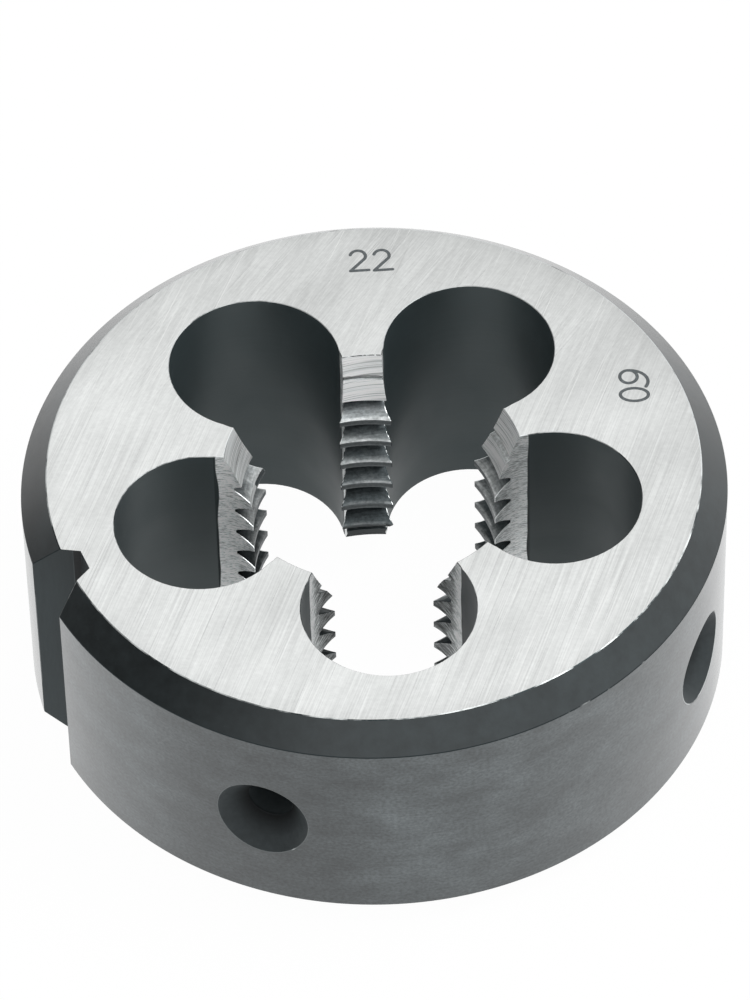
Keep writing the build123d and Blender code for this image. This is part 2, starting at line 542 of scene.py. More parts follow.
def seat_surface(size, azimuth, loop):
    """A screw seat, as rings inward from the window's border: rings on the rim that go from the
    border to the mouth's curve, the broken edge, the cone, the pilot's wall and its bottom."""
    rim, middle = size.diameter / 2, size.thickness / 2
    loop_azimuth = np.arctan2(loop[:, 1], loop[:, 0])
    loop_turn = (loop_azimuth - azimuth + pi) % (2 * pi) - pi
    across = rim * np.sin(loop_turn)
    turn = np.arctan2(loop[:, 2] - middle, across)
    mouth = seat_mouth(size, turn)
    outer = mouth + size.edge_break
    outer_turn = np.arcsin(outer * np.cos(turn) / rim)
    outer_z = middle + outer * np.sin(turn)
    shares = np.linspace(0, 1, SEAT_RIM_STEPS + 1)[:, None]
    rim_z = loop[:, 2] + shares * (outer_z - loop[:, 2])
    on_rim = turned(rim, 0.0, rim_z, azimuth + loop_turn + shares * (outer_turn - loop_turn))
    on_rim[0] = loop
    # A cone of 90 degrees is as deep as its radius has shrunk. Below it, each ring has one radius
    # and one depth.
    pilot, bottom = size.pilot_diameter / 2, size.pilot_depth
    cone = np.linspace(mouth - size.edge_break / 2, pilot, SEAT_CONE_STEPS + 1)
    wall = np.linspace(size.seat_diameter / 2 - pilot, bottom, SEAT_PILOT_STEPS + 1)[1:]
    below = np.array([(pilot, depth) for depth in wall] + [(pilot / 3, bottom)])
    below = np.broadcast_to(below.T[..., None], (2, len(below), len(turn)))
    radii = np.concatenate([cone, below[0]])
    depths = np.concatenate([size.seat_diameter / 2 - cone, below[1]])
    inside = turned(rim - depths, radii * np.cos(turn), middle + radii * np.sin(turn), azimuth)
    finish = [RIM] * SEAT_RIM_STEPS + [EDGE] + [DULL] * (len(radii) - 1)
    centre = turned(rim - size.pilot_depth, 0.0, middle, azimuth)
    return np.concatenate([on_rim, inside]), np.array(finish), centre


def grid_cells(index):
    """Corners of a grid's cells, from the numbers of its points. It closes after its last column.
    Its outside is where the rows' way times the columns' way points."""
    after = np.roll(index, -1, axis=1)
    return np.stack([index[:-1], index[1:], after[1:], after[:-1]], axis=-1)


# Points are joined where they agree to this many millimetres.
JOINING = 1e-5


class Surface:
    """Collects grids of cells, and joins them where their points meet."""

    def __init__(self):
        self.points, self.corners, self.uvs, self.finishes = [], [], [], []
        self.count = 0

    def add(self, points, cells, uv, finish):
        """Adds faces of three or four corners, with coordinates at the corners."""
        self.points.append(points.reshape(-1, 3))
        self.corners.append(cells + self.count)
        self.uvs.append(uv)
        self.finishes.append(np.broadcast_to(finish, len(cells)))
        self.count += len(self.points[-1])

    def grid(self, points, start, end, finish, keep=None):
        """Adds a grid that closes after its last column, or those of its cells to keep."""
        cells = grid_cells(np.arange(points[..., 0].size).reshape(points.shape[:2]))
        uv = np.stack([start[:-1], start[1:], end[1:], end[:-1]], axis=-2)
        keep = np.ones(cells.shape[:2], bool) if keep is None else keep
        self.add(points, cells[keep], uv[keep], np.broadcast_to(finish, keep.shape)[keep])

    def mesh(self, name):
        """The joined mesh, in metres."""
        points = np.concatenate(self.points)
        places = np.round(points / JOINING).astype(np.int64)
        _, first, joined = np.unique(places, axis=0, return_index=True, return_inverse=True)
        joined = joined.ravel()
        faces, uv = [], []
        for cells, coordinates in zip(self.corners, self.uvs):
            faces += joined[cells].tolist()
            uv.append(coordinates.reshape(-1, 2))
        mesh = bpy.data.meshes.new(name)
        mesh.from_pydata(points[first] * MM, [], faces)
        layer = mesh.uv_layers.new(name=UV_NAME)
        layer.data.foreach_set("uv", np.concatenate(uv).astype(np.float32).ravel())
        finish = np.concatenate(self.finishes).astype(np.int32)
        mesh.polygons.foreach_set("material_index", finish)
        mesh.update()
        return mesh


def build_die(size):
    """The whole surface of the die as one closed mesh."""
    surface = Surface()
    wall, wall_start, wall_end, wall_finish = bore_wall(size)
    surface.grid(wall, wall_start, wall_end, wall_finish)
    rim, rim_start, rim_end, rim_finish = rim_wall(size)

    # Each face goes in straight lines from the bore's outline to the rim's, with a narrow strip
    # at the bore that breaks the edge.
    for top in (True, False):
        bore = wall[-1 if top else 0]
        outer = rim[0 if top else -1]
        z = size.thickness if top else 0.0
        inner = np.c_[offset_outline(bore[:, :2], size.edge_break), np.full(COLUMNS, z)]
        shares = np.linspace(0, 1, FACE_STEPS + 1)[:, None, None]
        rows = np.concatenate([bore[None], inner + shares * (outer - inner)])
        finish = np.full((FACE_STEPS + 1, COLUMNS), FACE)
        finish[0] = EDGE if top else DULL
        if not top:
            rows, finish = rows[::-1], finish[::-1]
        start = rows[..., :2]
        surface.grid(rows, start, np.roll(start, -1, axis=1), finish)

    keep = np.ones(rim_finish.shape, bool)
    rim_z = rim[:, COLUMNS // 2, 2]
    azimuth = np.unwrap(np.arctan2(rim[len(rim) // 2, :, 1], rim[len(rim) // 2, :, 0]))
    window = size.seat_diameter / 2 + SEAT_MARGIN
    for name in SEAT_NAMES:
        seat = mount_azimuth(name)
        seat += 2 * pi * np.ceil((azimuth[0] - seat) / (2 * pi))
        left = np.searchsorted(azimuth, seat - 2 * window / size.diameter) - 1
        right = np.searchsorted(azimuth, seat + 2 * window / size.diameter)
        upper = np.flatnonzero(rim_z > size.thickness / 2 + window)[-1]
        lower = np.flatnonzero(rim_z < size.thickness / 2 - window)[0]
        keep[upper:lower, left:right] = False
        sides = (rim[upper, left:right], rim[upper:lower, right])
        sides += (rim[lower, right:left:-1], rim[lower:upper:-1, left])
        loop = np.concatenate(sides)
        points, finish, centre = seat_surface(size, seat, loop)
        around = np.unwrap(np.arctan2(points[..., 1], points[..., 0]), axis=1)
        base = around - around[:, :1] + (around[:, :1] + 2 * pi - azimuth[0]) % (2 * pi)
        uv = np.stack([(base + azimuth[0]) * size.diameter / 2, points[..., 2]], axis=-1)
        cells = np.repeat(finish[:, None], points.shape[1], axis=1)
        surface.grid(points, uv, np.roll(uv, -1, axis=1), cells)
        last = points[-1]
        fan = np.concatenate([last, centre[None]])
        index = np.arange(len(last))
        triangles = np.stack([index, np.full_like(index, len(last)), np.roll(index, -1)], axis=-1)
        surface.add(fan, triangles, np.zeros((len(last), 3, 2)), DULL)
    surface.grid(rim, rim_start, rim_end, rim_finish, keep)
    return surface.mesh(NODE + "_surface")


def arc(centre, radii, start, end, steps=24):
    """Points of an ellipse's arc, between two angles in degrees."""
    turn = np.radians(np.linspace(start, end, steps))
    return np.c_[centre[0] + radii[0] * np.cos(turn), centre[1] + radii[1] * np.sin(turn)]


def digit_strokes(digit):
    """Middle lines of a number's strokes, in a box one wide and one high."""
    if digit == "2":
        slant = np.linspace((0.80, 0.60), (0.0, 0.0), 12)[1:]
        bow = arc((0.42, 0.72), (0.42, 0.28), 165, -25)
        return [np.concatenate([bow, slant]), np.linspace((0.0, 0.0), (1.0, 0.03), 8)]
    if digit == "6":
        return [arc((0.5, 0.31), (0.46, 0.31), 0, 360, 40), arc((0.84, 0.33), (0.8, 0.67), 180, 62)]
    return [arc((0.5, 0.5), (0.46, 0.5), 0, 360, 44)]


# How far a number's top lies above the face, how much more each further stroke's does, as a
# share, and how deep its sides go down into the face
MARK_RISE = 0.008
STROKE_STEP = 0.3
MARK_SINK = 0.04
# Steps of a stroke's round tip, and how far they go towards its end, where its width would be 0
CAP_STEPS = 4
CAP_REACH = 0.98
# Space between two digits' middle lines, in stroke widths
DIGIT_GAP = 1.6


def stroke_ribbon(size, line, rise):
    """A flat bar that follows a line, as rows along it by columns round its section. Its section
    is carried along the line, square to it. At an open end it narrows to a round tip, as the root
    of one less the square of the share of the way. A line that ends where it starts is closed."""
    half = size.stroke_width / 2
    closed = np.allclose(line[0], line[-1])
    if closed:
        line = line[:-1]
        along = np.roll(line, -1, axis=0) - np.roll(line, 1, axis=0)
        narrow = np.ones(len(line))
    else:
        first, last = (s / np.linalg.norm(s) for s in (line[1] - line[0], line[-1] - line[-2]))
        reach = np.sin(np.linspace(0, pi / 2, CAP_STEPS + 1))[1:, None] * CAP_REACH
        caps = line[0] - half * first * reach[::-1], line[-1] + half * last * reach
        line = np.concatenate([caps[0], line, caps[1]])
        tip = np.sqrt(1 - reach[:, 0] ** 2)
        narrow = np.concatenate([tip[::-1], np.ones(len(line) - 2 * CAP_STEPS), tip])
        along = np.gradient(line, axis=0)
    along /= np.linalg.norm(along, axis=1, keepdims=True)
    across = np.c_[-along[:, 1], along[:, 0]] * (half * narrow)[:, None]
    shares = np.array([-1.0, -1.0, -0.8, 0.8, 1.0, 1.0])
    levels = np.array([-MARK_SINK, rise / 2, rise, rise, rise / 2, -MARK_SINK])
    flat = line[:, None, :] + shares[None, :, None] * across[:, None, :]
    level = np.broadcast_to(levels[None, :, None], flat.shape[:2] + (1,))
    return np.concatenate([flat, level], axis=2), closed


def build_numbers(size, marks):
    """The numbers as one mesh of closed bars. A mark gives its digits, the middle of its first
    digit's box on the upper face, and the angle of its line of digits. The strokes of a digit
    differ a little in height, so no two tops lie in one plane where they cross."""
    points, faces, count = [], [], 0
    for digits, x, y, turn in marks:
        c, s = cos(turn), sin(turn)
        for place, digit in enumerate(digits):
            for number, stroke in enumerate(digit_strokes(digit)):
                line = (stroke - 0.5) * (size.digit_width, size.digit_height)
                line[:, 0] += place * (size.digit_width + DIGIT_GAP * size.stroke_width)
                bar, closed = stroke_ribbon(size, line, MARK_RISE * (1 + STROKE_STEP * number))
                px, py = bar[..., 0], bar[..., 1]
                flat = (x + px * c - py * s, y + px * s + py * c, size.thickness + bar[..., 2])
                points.append(np.stack(flat, axis=-1).reshape(-1, 3))
                index = count + np.arange(px.size).reshape(px.shape)
                ends = [] if closed else [index[0].tolist(), index[-1, ::-1].tolist()]
                if closed:
                    index = np.concatenate([index, index[:1]])
                faces += grid_cells(index).reshape(-1, 4).tolist() + ends
                count += px.size
    mesh = bpy.data.meshes.new("die_numbers_surface")
    mesh.from_pydata(np.concatenate(points) * MM, [], faces)
    return mesh


def add_node(tree, kind, *values, out="", sockets=None, **settings):
    """Adds a node with its settings, and gives its first output or the named one. Values go to
    its inputs in order, and the sockets' by name: an output is linked, and None changes nothing."""
    node = tree.nodes.new("ShaderNode" + kind)
    for name, value in settings.items():
        setattr(node, name, value)
    pairs = list(zip([socket for socket in node.inputs if socket.enabled], values))
    pairs += [(node.inputs[name], value) for name, value in (sockets or {}).items()]
    for socket, value in pairs:
        if isinstance(value, bpy.types.NodeSocket):
            tree.links.new(value, socket)
        elif value is not None:
            socket.default_value = value
    found = [socket for socket in node.outputs if socket.enabled and out in ("", socket.name)]
    return found[0] if found else None


def empty_nodes(owner):
    """Empties the nodes of a material or a world, and gives the function that adds to them."""
    owner.use_nodes = True
    owner.node_tree.nodes.clear()
    return partial(add_node, owner.node_tree)


def new_steel(finish, colours):
    """A new material with a finish's name. The finish is a function that adds the nodes: it is
    given the function that adds one, the place on the object, and the colours."""
    material = bpy.data.materials.new(finish.__name__)
    add = empty_nodes(material)
    finish(add, add("TexCoord", out="Object"), colours)
    return material


def lines(add, coordinates, along, across, turn=0.0, detail=2.0, seed=0.0):
    """Streaks of noise: one is about this long and this wide, in the coordinates' own unit, and
    lies at this angle."""
    scale = (along, across, across)
    laid = add("Mapping", coordinates, None, (0, 0, turn), scale, vector_type="TEXTURE")
    return add("TexNoise", laid, seed, 1.0, detail, 0.6, noise_dimensions="4D")


def product(add, *ranges):
    """Several patterns multiplied. Each gives its value, two limits of that value, and what it
    counts at each limit. Without the last two it counts 0 and 1, and a value alone counts as it
    is, from 0 to 1."""
    total = 1.0
    for limits in ranges:
        total = add("Math", total, add("MapRange", *limits), operation="MULTIPLY")
    return total


def raised(add, value, *terms):
    """A value with several terms added to it. Each term is a product of patterns."""
    for ranges in terms:
        value = add("Math", value, product(add, *ranges), operation="ADD")
    return value


def tinted(add, base, *ranges):
    """A colour made darker and lighter by several patterns."""
    factor = product(add, *ranges)
    return add("Mix", 1.0, base, factor, data_type="RGBA", blend_type="MULTIPLY")


def painted(add, base, over, *ranges):
    """A colour with another laid over it, as far as the product of several patterns says."""
    return add("Mix", product(add, *ranges), base, over, data_type="RGBA")


def axis_distance(add, place):
    """Distance of a place from the bore's axis."""
    flat = add("VectorMath", place, (1.0, 1.0, 0.0), operation="MULTIPLY")
    return add("VectorMath", flat, operation="LENGTH")


def height_on_tooth(add, place):
    """Height above the middle of the nearest tooth, in metres. The thread climbs one pitch in a
    turn, so a tooth's middle rises with the azimuth."""
    size = bpy.context.scene.die_sizes
    x, y, z = (add("SeparateXYZ", place, out=axis) for axis in "XYZ")
    azimuth = add("Math", y, x, operation="ARCTAN2")
    height = add("Math", azimuth, -size.pitch / (2 * pi), z, operation="MULTIPLY_ADD")
    height = add("Math", height, size.tooth_height, operation="SUBTRACT")
    return add("Math", height, size.pitch / 2, -size.pitch / 2, operation="WRAP")


def finish_material(add, base, rough, sockets, height=None, depth=0.0):
    """Adds the shader and the output. Roughness is a value, or a pattern's value with its limits.
    A height pattern gives a bump of this depth in metres."""
    roughness = add("MapRange", *rough) if isinstance(rough, tuple) else rough
    if height is not None:
        sockets = {**sockets, "Normal": add("Bump", 1.0, depth, None, height)}
    sockets = {"Base Color": base, "Roughness": roughness, **sockets}
    add("OutputMaterial", add("BsdfPrincipled", sockets=sockets))


def shade(value, colour_value):
    """A colour made darker or lighter by a factor."""
    return (*(min(1.0, c * value) for c in colour_value[:3]), 1.0)


def direction(azimuth):
    """A level direction at an azimuth about the bore's axis."""
    return (cos(azimuth), sin(azimuth), 0.0)


METAL = {"Metallic": 1.0}
# A film of oil is hardly seen from straight on, and bright at a low angle.
OIL_FILM = {"Coat Weight": 1.0, "Coat Roughness": 0.18, "Coat IOR": 1.5}


# Lengths in the finishes are in metres where a pattern lies on the object, and in millimetres
# where it lies on the surface's own coordinates.


def ground_tool_steel(add, place, colours):
    """Tool steel, surface ground: fine parallel scratches in a few directions, a few deeper dark
    ones and a few pale ones that are a painted glint, and soft clouds where the wheel cut less.
    Bright, with a soft sheen. Painted light makes the front left a little brighter."""
    # Fine scratches are about 0.05 mm apart on the real face, and are drawn 0.1 mm wide to show.
    steep = lines(add, place, 0.011, 0.00011, radians(71))
    leaning = lines(add, place, 0.008, 0.00010, radians(56), seed=7.0)
    # The wheel's lines lean over towards the back of the face.
    back = add("SeparateXYZ", place, out="Y")
    wave = lines(add, place, 0.02, 0.02)
    lean = add("MapRange", add("Math", wave, 0.02, back, operation="MULTIPLY_ADD"), 0.012, 0.032)
    mixed = add("Mix", lean, steep, leaning)
    # Painted light: the front left is a little brighter. The rim's side is a little darker.
    front_left = add("VectorMath", place, direction(radians(212)), operation="DOT_PRODUCT")
    toned = tinted(
        add,
        colours.ground_face,
        (mixed, 0.33, 0.67, 0.88, 1.08),
        (lines(add, place, 0.013, 0.00045, radians(71), seed=3.0), 0.35, 0.65, 0.96, 1.04),
        (lines(add, place, 0.010, 0.006, radians(60), seed=29.0), 0.3, 0.7, 0.90, 1.06),
        (lines(add, place, 0.00045, 0.0003, seed=31.0, detail=3.0), 0.3, 0.7, 0.95, 1.05),
        (lean, 0.0, 1.0, 1.0, 0.91),
        (front_left, -0.022, 0.022, 0.95, 1.08),
        (axis_distance(add, place), 0.0240, 0.0252, 1.0, 0.94),
    )
    deep = lines(add, place, 0.014, 0.00013, radians(70), seed=19.0)
    toned = painted(add, toned, shade(0.5, colours.ground_face), (deep, 0.64, 0.72, 0.0, 0.30))
    # Painted glint: pale lines laid over the colour where deeper scratches would catch the light.
    glint = lines(add, place, 0.018, 0.00014, radians(69), seed=23.0)
    toned = painted(add, toned, linear("#eff0ef"), (glint, 0.61, 0.70, 0.0, 0.6))
    finish_material(add, toned, (mixed, 0.3, 0.7, 0.26, 0.42), METAL, mixed, 0.000004)


def black_oxide_steel(add, place, colours):
    """Tool steel with an oiled coat of black oxide: dark and slightly cool, with faint mottling
    and small pale specks where the grey of the metal comes through. Painted shade makes it darker
    at the left."""
    mottle = lines(add, place, 0.0011, 0.0011, seed=2.0, detail=5.0)
    # Painted shade: the chamfers are darker towards the left, where less light falls.
    left = add("VectorMath", place, direction(radians(176)), operation="DOT_PRODUCT")
    toned = tinted(
        add,
        colours.black_oxide,
        (mottle, 0.3, 0.7, 0.80, 1.20),
        (lines(add, place, 0.009, 0.006, seed=5.0), 0.3, 0.7, 0.84, 1.18),
        (left, 0.0250, 0.0262, 1.0, 0.58),
    )
    specks = lines(add, place, 0.00025, 0.00025, seed=21.0)
    toned = painted(add, toned, colours.ground_rim, (specks, 0.72, 0.76, 0.0, 0.35))
    grain = lines(add, place, 0.00018, 0.00018, seed=8.0, detail=3.0)
    film = {**METAL, **OIL_FILM}
    finish_material(add, toned, (mottle, 0.3, 0.7, 0.42, 0.54), film, grain, 0.000010)


def milled_oxide_steel(add, place, colours):
    """Tool steel, milled and black: a little duller than the chamfers, with fine lines along the
    cutter's way. A pale line runs along each side, a painted highlight standing for a slight bend
    in the wall, and from there to the root painted shade makes it darker. It is also darker
    towards the upper face."""
    radius = axis_distance(add, place)
    z = add("SeparateXYZ", place, out="Z")
    flat = add("VectorMath", place, (1.0, 1.0, 0.15), operation="MULTIPLY")
    cuts = lines(add, flat, 0.00035, 0.00035, seed=4.0, detail=3.0)
    # Painted shade from the root out to the bend in each side, where the wall turns from the light.
    band = product(add, (radius, 0.02403, 0.02405), (radius, 0.02456, 0.02452))
    toned = tinted(
        add,
        colours.black_oxide,
        (cuts, 0.3, 0.7, 1.15, 1.7),
        (z, 0.017, 0.021, 0.92, 0.76),
        (band, 0.0, 1.0, 1.0, 0.28),
    )
    # Painted highlight: the pale line along the bend.
    pale_line = (radius, 0.02453, 0.02456), (radius, 0.02463, 0.02460)
    toned = painted(add, toned, colours.ground_rim, *pale_line, (cuts, 0.4, 0.6, 0.3, 1.0))
    film = {**METAL, **OIL_FILM, "Coat Weight": 0.35}
    finish_material(add, toned, (cuts, 0.3, 0.7, 0.46, 0.58), film, cuts, 0.000008)


def dull_oxide_steel(add, place, colours):
    """Tool steel, countersunk and black, with no oil on it: matt. In the seats' cones painted shade
    makes it darker from the mouth to the pilot, and the pilot's wall is painted lighter again."""
    radius = axis_distance(add, place)
    toned = tinted(
        add,
        colours.dull_oxide,
        # Painted shade deeper in each seat, and painted light in the pilot, which softens its edge.
        (radius, 0.0255, 0.0266, 0.14, 0.80),
        (radius, 0.0264, 0.0273, 1.0, 1.15),
        (radius, 0.0255, 0.0252, 1.0, 7.0),
        (lines(add, place, 0.0007, 0.0007, seed=2.0, detail=4.0), 0.3, 0.7, 0.84, 1.16),
    )
    grain = lines(add, place, 0.0002, 0.0002, seed=12.0)
    rough = (radius, 0.0254, 0.0273, 0.8, 0.5)
    finish_material(add, toned, rough, {"IOR": 1.3}, grain, 0.000006)


def drilled_oxide_steel(add, place, colours):
    """Tool steel, drilled and black: smoother than the chamfers and a little lighter, with faint
    rings where the drill went down. Duller in the front holes, and painted shade makes the front
    holes and those at the right darker."""
    uv = add("UVMap", uv_map=UV_NAME)
    x, y = (add("SeparateXYZ", place, out=axis) for axis in "XY")
    cloud = lines(add, uv, 5.0, 4.0, seed=5.0)
    toned = tinted(
        add,
        colours.hole_wall,
        (lines(add, uv, 9.0, 0.35, radians(3)), 0.3, 0.7, 0.95, 1.05),
        (cloud, 0.3, 0.7, 0.9, 1.1),
        # Painted shade: darker at the right and in the front holes.
        (x, 0.008, 0.016, 1.0, 0.80),
        (y, -0.001, -0.007, 1.0, 0.6),
    )
    rough = add("MapRange", cloud, 0.3, 0.7, 0.40, 0.50)
    rough = raised(add, rough, ((y, -0.001, -0.007, 0.0, 0.08),))
    sockets = {"IOR": 1.58, "Specular Tint": linear("#eefdff")}
    grain = lines(add, uv, 0.3, 0.2, seed=8.0, detail=3.0)
    finish_material(add, toned, rough, sockets, grain, 0.000004)


def ground_rim_steel(add, place, colours):
    """Tool steel, ground round, hardened and oiled: a grey metal with short level grinding marks,
    small specks and soft stains. Duller than the faces, and pale where it turns away. Painted
    shade makes it darker round azimuth 250 and towards the floor."""
    uv = add("UVMap", uv_map=UV_NAME)
    fine = lines(add, uv, 1.6, 0.07, seed=4.0)
    marks = add("Mix", 0.5, lines(add, uv, 5.0, 0.12), fine)
    specks = lines(add, uv, 0.30, 0.22, seed=14.0, detail=3.0)
    stain = lines(add, uv, 9.0, 3.0, seed=9.0, detail=4.0)
    # Painted shade: the rim is darker round azimuth 250.
    front_left = add("VectorMath", place, direction(radians(250)), operation="DOT_PRODUCT")
    toned = tinted(
        add,
        colours.ground_rim,
        (marks, 0.35, 0.65, 0.84, 1.16),
        (specks, 0.35, 0.65, 0.72, 1.30),
        (stain, 0.3, 0.7, 0.72, 1.28),
        (lines(add, uv, 3.2, 2.2, seed=24.0, detail=5.0), 0.3, 0.7, 0.72, 1.28),
        (front_left, 0.0255, 0.0270, 1.0, 0.66),
        # Painted shade: darker towards the floor.
        (add("SeparateXYZ", place, out="Z"), 0.0050, 0.0024, 1.0, 0.86),
    )
    film = {**METAL, **OIL_FILM}
    finish_material(add, toned, (stain, 0.3, 0.7, 0.34, 0.46), film, fine, 0.000004)


def cutting_face_steel(add, place, colours):
    """Tool steel, hollow ground by a small wheel: bright, with short marks and specks, painted
    glints, and a wavy edge where the dark wall starts. The marks lie level at the back and slanting
    at the front. Painted shade makes it darker towards the teeth, in patches at the front, and a
    painted highlight makes a strip near the hole's edge lighter there. Painted light makes it
    lighter at the left."""
    x, y = (add("SeparateXYZ", place, out=axis) for axis in "XY")
    uv = add("UVMap", uv_map=UV_NAME)
    from_edge = add("Math", add("SeparateXYZ", uv, out="X"), operation="ABSOLUTE")
    level = lines(add, uv, 0.8, 0.10, detail=3.0)
    slanting = lines(add, uv, 1.1, 0.13, radians(-38), seed=8.0, detail=3.0)
    front = add("MapRange", y, 0.0, -0.003)
    marks = add("Mix", front, level, slanting)
    specks = lines(add, uv, 0.30, 0.12, seed=12.0, detail=3.0)
    # Painted shade towards the teeth at the front, in patches, a painted highlight on the strip
    # near the hole's edge, and painted light at the left.
    by_teeth = product(add, (front,), (from_edge, 0.8, 2.2))
    waves = product(add, (front,), (from_edge, 0.5, 1.4), (marks, 0.60, 0.40))
    strip = product(add, (front,), (from_edge, 1.6, 0.6))
    left = product(add, (x, -0.004, -0.009), (y, -0.002, 0.002))
    toned = tinted(
        add,
        colours.cutting_face,
        (marks, 0.38, 0.62, 0.60, 1.32),
        (lines(add, uv, 2.2, 0.8, radians(10), seed=6.0), 0.3, 0.7, 0.78, 1.18),
        (specks, 0.38, 0.64, 0.78, 1.22),
        (from_edge, 2.2, 4.4, 1.0, 0.84),
        (by_teeth, 0.0, 1.0, 1.0, 0.55),
        (waves, 0.0, 1.0, 1.0, 0.42),
        (strip, 0.0, 1.0, 1.0, 1.20),
        (left, 0.0, 1.0, 1.06, 1.28),
    )
    # Painted glints: white specks laid over the colour.
    glint = product(add, (marks, 0.60, 0.72, 0.0, 0.8), (specks, 0.40, 0.60))
    toned = painted(add, toned, linear("#ffffff"), (glint,))
    # The dark coat reaches up to 0.35 mm over the hollow's outer edge, in long waves.
    reach = add("MapRange", lines(add, uv, 60.0, 7.0, seed=17.0, detail=1.0), 0.35, 0.65, 0.0, 0.35)
    coat = add("MapRange", add("Math", from_edge, reach, operation="SUBTRACT"), 0.03, -0.03)
    toned = painted(add, toned, colours.hole_wall, (coat,))
    metallic = add("MapRange", coat, 0.0, 1.0, 1.0, 0.0)
    # On the left it is rougher, and scatters the light.
    rough = add("MapRange", marks, 0.3, 0.7, 0.52, 0.68)
    rough = add("Math", left, 0.28, rough, operation="MULTIPLY_ADD")
    finish_material(add, toned, rough, {"Metallic": metallic}, marks, 0.000010)


def lead_cone_steel(add, place, colours):
    """Tool steel, turned and relief ground: very bright, with turning lines that run round the
    cone, some of them torn dark and some with a painted glint. Painted shade makes the left-hand
    land's darker, and draws a dark wavy line where the thread's groove ends."""
    uv = add("UVMap", uv_map=UV_NAME)
    x, z = (add("SeparateXYZ", place, out=axis) for axis in "XZ")
    lean = radians(-4)
    marks = lines(add, uv, 30.0, 0.09, lean, detail=3.0)
    toned = tinted(
        add,
        colours.lead_cone,
        (marks, 0.36, 0.64, 0.76, 1.36),
        (lines(add, uv, 20.0, 0.35, lean, seed=6.0), 0.35, 0.65, 0.84, 1.22),
        # Painted shade: darker on the left-hand land.
        (x, -0.009, -0.004, 0.66, 1.0),
    )
    # Painted glint: pale lines laid over the turning lines.
    glint = lines(add, uv, 12.0, 0.12, lean, seed=26.0)
    toned = painted(add, toned, shade(1.4, colours.lead_cone), (glint, 0.54, 0.62, 0.0, 0.9))
    torn = product(add, (lines(add, uv, 9.0, 0.075, lean, seed=16.0), 0.57, 0.63, 0.0, 0.6))
    # Painted shadow: the end of the thread's groove shows as a dark, wavy line.
    wave = lines(add, uv, 1.0, 1.0, seed=2.0)
    height = add("Math", height_on_tooth(add, place), operation="ABSOLUTE")
    height = add("Math", wave, 0.0003, height, operation="MULTIPLY_ADD")
    in_groove, below_face = (height, 0.00124, 0.00130), (z, 0.02055, 0.02045)
    groove = product(add, in_groove, below_face, (wave, 0.3, 0.6, 0.95, 0.6))
    # The torn lines are the cone's own marks; the groove's dark line added to them is painted
    # shadow.
    torn = add("Math", torn, groove, operation="MAXIMUM")
    toned = painted(add, toned, shade(0.14, colours.lead_cone), (torn,))
    finish_material(add, toned, (marks, 0.3, 0.7, 0.58, 0.70), METAL, marks, 0.000010)


